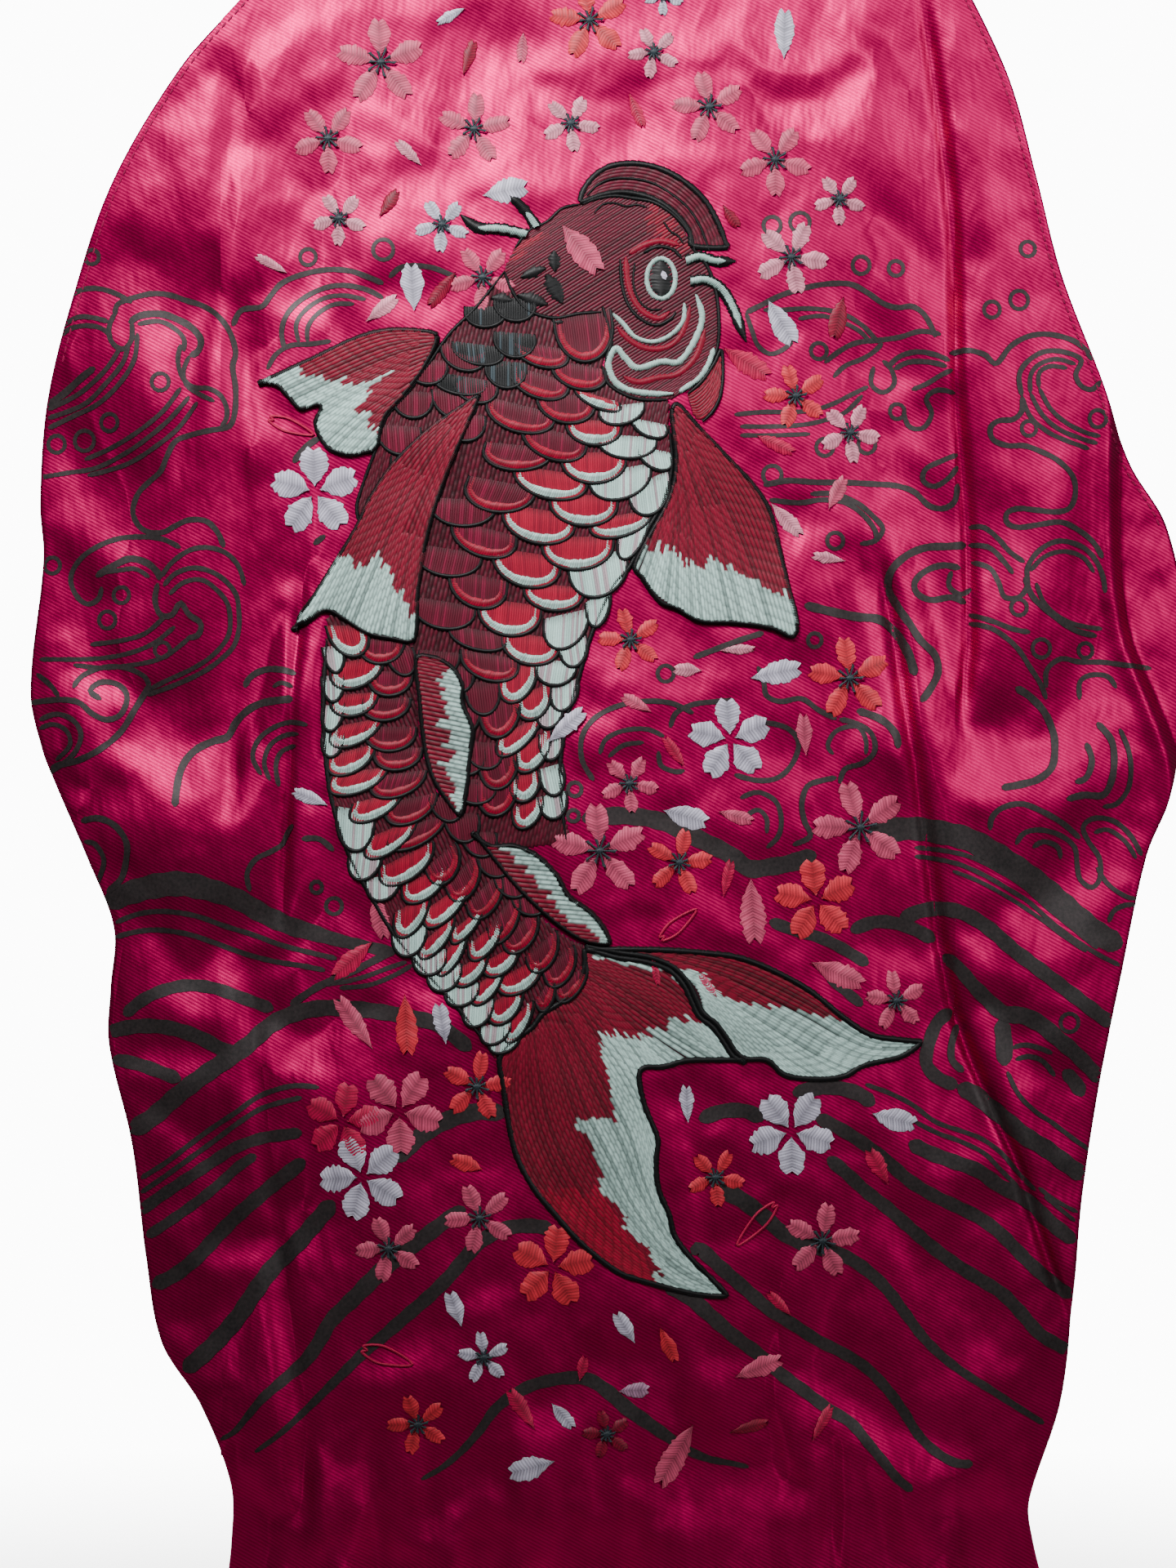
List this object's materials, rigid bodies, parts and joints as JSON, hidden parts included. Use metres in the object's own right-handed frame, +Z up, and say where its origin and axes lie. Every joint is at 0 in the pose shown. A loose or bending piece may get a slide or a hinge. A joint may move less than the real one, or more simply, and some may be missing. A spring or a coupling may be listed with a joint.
{
  "type": "embroidered satin back panel",
  "caption": "Hanging fuchsia satin back panel with a raised embroidered carp, blossoms and petals, printed waves, a lining and two soft side folds.",
  "frame": {"origin": "middle of the neck tape's top face", "axes": "+X to the viewer's right, -Y is the embroidered front, +Z up"},
  "size_m": [0.4025, 0.0414, 0.582],
  "materials": {
    "backing": "pressed non-woven stabiliser",
    "black_thread": "black rayon cord stitch",
    "carp_thread": "crimson rayon fill stitch in scales",
    "coral_blossom": "coral rayon satin stitch",
    "elastic": "woven elastic tape",
    "fin_thread": "crimson rayon fill stitch with mint white tips",
    "lining": "plain deep magenta taffeta",
    "neck_tape": "folded satin tape with topstitching",
    "pale_blossom": "lilac white rayon satin stitch",
    "pink_blossom": "pink rayon satin stitch",
    "satin": "fuchsia polyester satin, glossy, printed with dark grey waves",
    "white_thread": "mint white rayon satin stitch"
  },
  "bodies": {
    "neck_edge_tape": {"neck_tape": "neck_tape"},
    "back_panel": {"barbel_left_lower": "white_thread", "barbel_left_upper": "white_thread", "barbel_right_lower": "white_thread", "barbel_right_upper": "white_thread", "blossom_01": "pink_blossom", "blossom_02": "pink_blossom", "blossom_03": "pink_blossom", "blossom_04": "pink_blossom", "blossom_05": "pink_blossom", "blossom_06": "pale_blossom", "blossom_07": "coral_blossom", "blossom_08": "pale_blossom", "blossom_09": "pink_blossom", "blossom_10": "coral_blossom", "blossom_11": "pale_blossom", "blossom_12": "pink_blossom", "blossom_13": "pale_blossom", "blossom_14": "coral_blossom", "carp_crest": "carp_thread", "carp_front_body": "carp_thread", "carp_head": "carp_thread", "carp_rear_body": "carp_thread", "dorsal_front": "fin_thread", "dorsal_rear": "fin_thread", "embroidery_backing": "backing", "eye_ring": "white_thread", "fin_left_lower": "fin_thread", "fin_left_upper": "fin_thread", "fin_right": "fin_thread", "gill_edge": "carp_thread", "jaw_cord_inner": "white_thread", "jaw_cord_middle": "white_thread", "jaw_cord_outer": "white_thread", "lining_centre": "lining", "outline_carp_crest": "black_thread", "outline_dorsal_front": "black_thread", "outline_dorsal_rear": "black_thread", "outline_fin_left_lower": "black_thread", "outline_fin_left_upper": "black_thread", "outline_fin_right": "black_thread", "outline_tail_main": "black_thread", "outline_tail_upper": "black_thread", "pupil": "black_thread", "satin_centre": "satin", "tail_main": "fin_thread", "tail_upper": "fin_thread", "waist_elastic": "elastic", "waist_facing": "satin"},
    "left_side": {"satin_left": "satin", "seam_binding_left": "satin", "lining_left": "lining"},
    "right_side": {"satin_right": "satin", "seam_binding_right": "satin", "lining_right": "lining"}
  },
  "joints": [
    {"name": "panel_swing", "type": "hinge", "parent": "neck_edge_tape", "child": "back_panel", "pos_m": [0.012, 0.0006, -0.01075], "axis": [1, 0, 0], "range_deg": [-25, 25]},
    {"name": "left_side_fold", "type": "hinge", "parent": "back_panel", "child": "left_side", "pos_m": [-0.126, 0.00375, -0.285], "axis": [0, 0, -1], "range_deg": [-20, 60], "stiffness_Nm_per_rad": 0.02},
    {"name": "right_side_fold", "type": "hinge", "parent": "back_panel", "child": "right_side", "pos_m": [0.126, 0.00375, -0.285], "axis": [0, 0, 1], "range_deg": [-20, 60], "stiffness_Nm_per_rad": 0.02}
  ]
}
